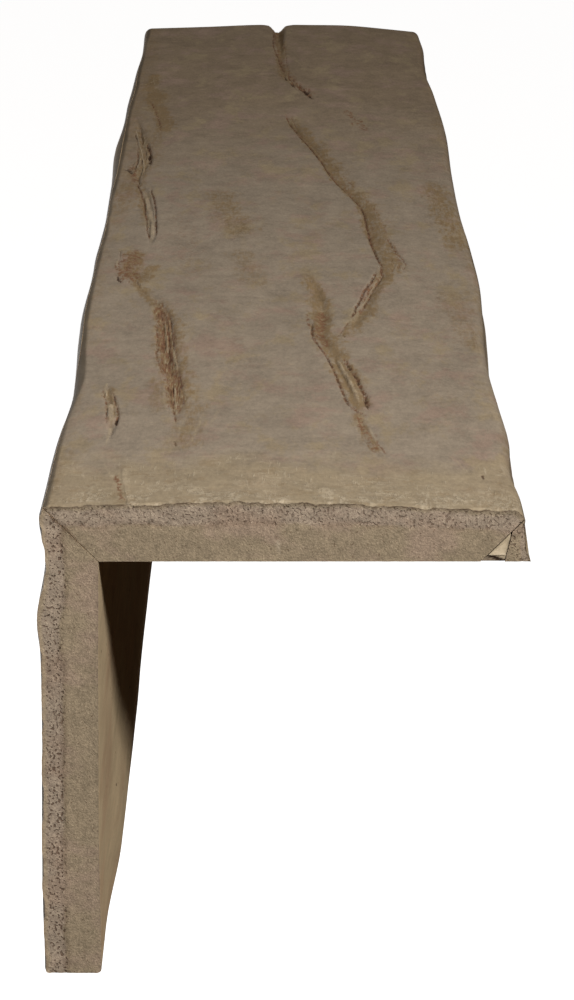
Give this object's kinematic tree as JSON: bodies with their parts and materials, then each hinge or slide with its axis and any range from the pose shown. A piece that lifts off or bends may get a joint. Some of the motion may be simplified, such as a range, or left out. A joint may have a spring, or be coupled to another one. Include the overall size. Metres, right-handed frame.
{
  "type": "faux ceiling beam",
  "caption": "L-shaped faux ceiling beam of rigid foam with a hewn-timber skin, mitred boards, a narrow return strip and a flat back for fixing over blocking.",
  "frame": {"origin": "middle of the face board's flat back, halfway along the beam and across its nominal width, where the beam lies on its blocking", "axes": "+X across the face from the side board to the return strip, +Y along the beam, +Z out of the face; the side board runs down along -Z"},
  "size_m": [0.2118, 1.5, 0.209],
  "materials": {
    "weathered_stain": "matt grey-brown wood stain over cast foam",
    "cream_glue": "satin cured glue"
  },
  "bodies": {
    "root": {"face_board": "weathered_stain", "side_board": "weathered_stain", "return_strip": "weathered_stain", "glue_bead": "cream_glue"}
  },
  "joints": []
}
